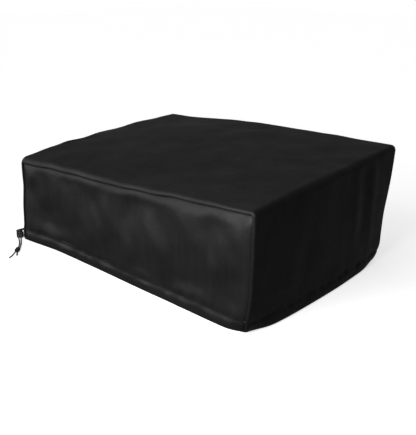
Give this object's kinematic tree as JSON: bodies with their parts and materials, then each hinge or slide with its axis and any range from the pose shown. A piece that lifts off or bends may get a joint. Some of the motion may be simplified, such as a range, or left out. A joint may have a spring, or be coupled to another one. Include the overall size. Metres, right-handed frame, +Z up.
{
  "type": "fabric dust cover",
  "caption": "Box-shaped soft fabric dust cover for a desktop printer, open below, with a drawstring in its hem and a sprung cord lock on the cord's ends.",
  "frame": {"origin": "middle of the cover's footprint, on the surface it stands on", "axes": "+X to the right along the wide front, +Y to the rear, +Z up; the front panel faces -Y and the cord lock is at the front left corner"},
  "size_m": [0.6608, 0.5058, 0.2314],
  "materials": {
    "cloth": "woven, matt with a slight sheen",
    "tape": "woven binding tape, matt",
    "cord": "braided round cord",
    "eyelet_metal": "black finish, worn satin",
    "lock_plastic": "moulded, satin",
    "spring_steel": "bare spring wire"
  },
  "bodies": {
    "cover": {"wrap_panel": "cloth", "front_panel": "cloth", "rear_panel": "cloth", "front_seam_binding": "tape", "rear_seam_binding": "tape", "drawstring": "cord", "strand_front": "cord", "strand_rear": "cord", "knot": "cord", "tail_long": "cord", "tail_short": "cord", "eyelet_front": "eyelet_metal", "eyelet_front_washer": "eyelet_metal", "eyelet_rear": "eyelet_metal", "eyelet_rear_washer": "eyelet_metal"},
    "cord_lock": {"lock_barrel": "lock_plastic", "lock_spring": "spring_steel"},
    "plunger": {"lock_plunger": "lock_plastic"}
  },
  "joints": [
    {"name": "cord_lock_slide", "type": "slide", "parent": "cover", "child": "cord_lock", "axis": [0.848, -0.5299, 0], "range_m": [0, 0.02]},
    {"name": "plunger_press", "type": "slide", "parent": "cord_lock", "child": "plunger", "axis": [0, 0, -1], "range_m": [0, 0.002], "stiffness_N_per_m": 300, "springref_m": -0.002, "deforming": ["lock_spring"]}
  ]
}
